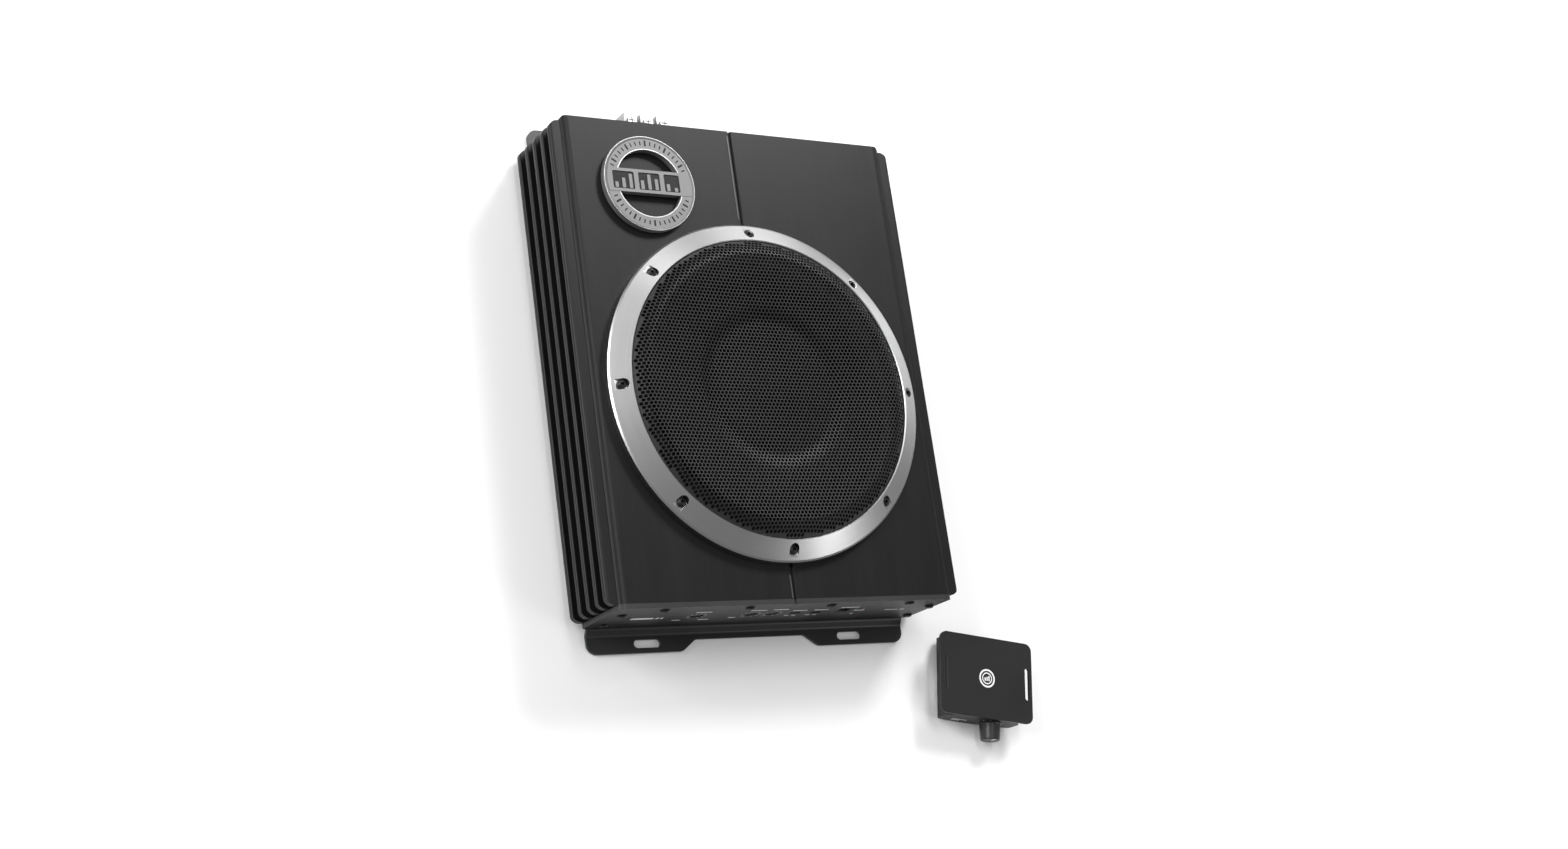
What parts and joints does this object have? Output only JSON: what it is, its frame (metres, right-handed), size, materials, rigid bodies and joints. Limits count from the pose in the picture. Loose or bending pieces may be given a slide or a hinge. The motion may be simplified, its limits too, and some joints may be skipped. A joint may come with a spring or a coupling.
{
  "type": "powered car subwoofer",
  "caption": "Flat finned amplifier housing with a round low-profile woofer under a metal grille, screw-down flanges at both ends and a separate knob remote.",
  "frame": {"origin": "centre of the four mounting slots, on the plane of the flange undersides", "axes": "+Z out of the woofer, +Y towards the supply end, +X to the right seen from the control end"},
  "size_m": [0.3213, 0.404, 0.0735],
  "materials": {
    "charcoal_housing": "satin",
    "black_panel": "satin",
    "black_screw": "satin black oxide",
    "bracket_steel": "satin",
    "ring_aluminium": "satin brushed",
    "grille_mesh": "satin powder coat",
    "basket_steel": "semi-matte",
    "gasket_foam": "matte",
    "surround_rubber": "matte",
    "cone_polymer": "matte",
    "former_aluminium": "satin",
    "copper": "enamelled wire",
    "spider_cloth": "resin-treated cloth",
    "zinc_steel": "zinc plated",
    "ferrite": "matte",
    "tinned_brass": "tinned",
    "badge_metal": "satin",
    "badge_dark": "satin",
    "pot_plastic": "matte",
    "knob_plastic": "satin",
    "socket_plastic": "matte",
    "socket_white": "matte",
    "led_lens": "clear tinted",
    "circuit_board": "solder mask",
    "nickel_plate": "nickel plated",
    "fuse_plastic": "translucent amber",
    "rca_insert": "satin",
    "capacitor_sleeve": "heat-shrink sleeve",
    "remote_plastic": "fine texture",
    "remote_plate": "satin"
  },
  "bodies": {
    "housing": {"housing_extrusion_left": "charcoal_housing", "housing_extrusion_right": "charcoal_housing", "control_end_panel": "black_panel", "supply_end_panel": "black_panel", "end_panel_screws": "black_screw", "mounting_bracket_control_end": "bracket_steel", "mounting_bracket_supply_end": "bracket_steel", "bracket_screws": "black_screw", "trim_ring": "ring_aluminium", "trim_ring_screws": "black_screw", "speaker_grille": "grille_mesh", "woofer_basket": "basket_steel", "surround_gasket": "gasket_foam", "cone_surround": "surround_rubber", "spider": "spider_cloth", "magnet_top_plate": "zinc_steel", "magnet_ring": "ferrite", "pole_piece": "zinc_steel", "speaker_terminals": "tinned_brass", "badge_bezel": "badge_metal", "badge_inlays": "badge_dark", "control_potentiometers": "pot_plastic", "slide_switch_bodies": "pot_plastic", "remote_port": "socket_plastic", "power_led": "led_lens", "control_circuit_board": "circuit_board", "power_terminal_block": "socket_plastic", "terminal_clamps": "nickel_plate", "terminal_screws": "nickel_plate", "fuse_holder": "socket_plastic", "blade_fuses": "fuse_plastic", "rca_jack_shells": "nickel_plate", "rca_jack_insulators": "rca_insert", "rca_jack_housing": "socket_plastic", "high_level_input_socket": "socket_white", "amplifier_circuit_board": "circuit_board", "board_standoffs": "nickel_plate", "board_screws": "nickel_plate", "toroid_transformer": "copper", "filter_capacitors": "capacitor_sleeve", "output_inductor": "ferrite", "output_transistors": "pot_plastic", "transistor_clamp_bars": "zinc_steel", "remote_housing": "remote_plastic", "remote_face_panel": "remote_plastic", "remote_mounting_plate": "remote_plate", "remote_screws": "black_screw", "remote_potentiometer": "pot_plastic", "remote_circuit_board": "circuit_board", "remote_cable_socket": "socket_plastic"},
    "woofer_moving": {"speaker_cone": "cone_polymer", "dust_cap": "cone_polymer", "voice_coil_former": "former_aluminium", "voice_coil_winding": "copper"},
    "gain_control": {"gain_knob": "knob_plastic"},
    "lowpass_control": {"lowpass_knob": "knob_plastic"},
    "bass_boost_control": {"bass_boost_knob": "knob_plastic"},
    "phase_switch": {"phase_switch_slider": "knob_plastic"},
    "input_mode_switch": {"input_mode_switch_slider": "knob_plastic"},
    "remote_level_control": {"remote_knob": "knob_plastic"}
  },
  "joints": [
    {"name": "cone_travel", "type": "slide", "parent": "housing", "child": "woofer_moving", "axis": [0, 0, 1], "range_m": [-0.006, 0.006], "stiffness_N_per_m": 4500, "deforming": ["cone_surround", "spider"]},
    {"name": "gain_turn", "type": "hinge", "parent": "housing", "child": "gain_control", "pos_m": [-0.052, -0.15, 0.031], "axis": [0, -1, 0], "range_deg": [-150, 150]},
    {"name": "lowpass_turn", "type": "hinge", "parent": "housing", "child": "lowpass_control", "pos_m": [-0.015, -0.15, 0.031], "axis": [0, -1, 0], "range_deg": [-150, 150]},
    {"name": "bass_boost_turn", "type": "hinge", "parent": "housing", "child": "bass_boost_control", "pos_m": [0, -0.15, 0.031], "axis": [0, -1, 0], "range_deg": [-150, 150]},
    {"name": "phase_slide", "type": "slide", "parent": "housing", "child": "phase_switch", "axis": [1, 0, 0], "range_m": [0, 0.003]},
    {"name": "input_mode_slide", "type": "slide", "parent": "housing", "child": "input_mode_switch", "axis": [1, 0, 0], "range_m": [0, 0.003]},
    {"name": "remote_level_turn", "type": "hinge", "parent": "housing", "child": "remote_level_control", "pos_m": [0.16435, -0.22417, 0.0086], "axis": [-0.1736, -0.9848, 0], "range_deg": [-150, 150]}
  ]
}
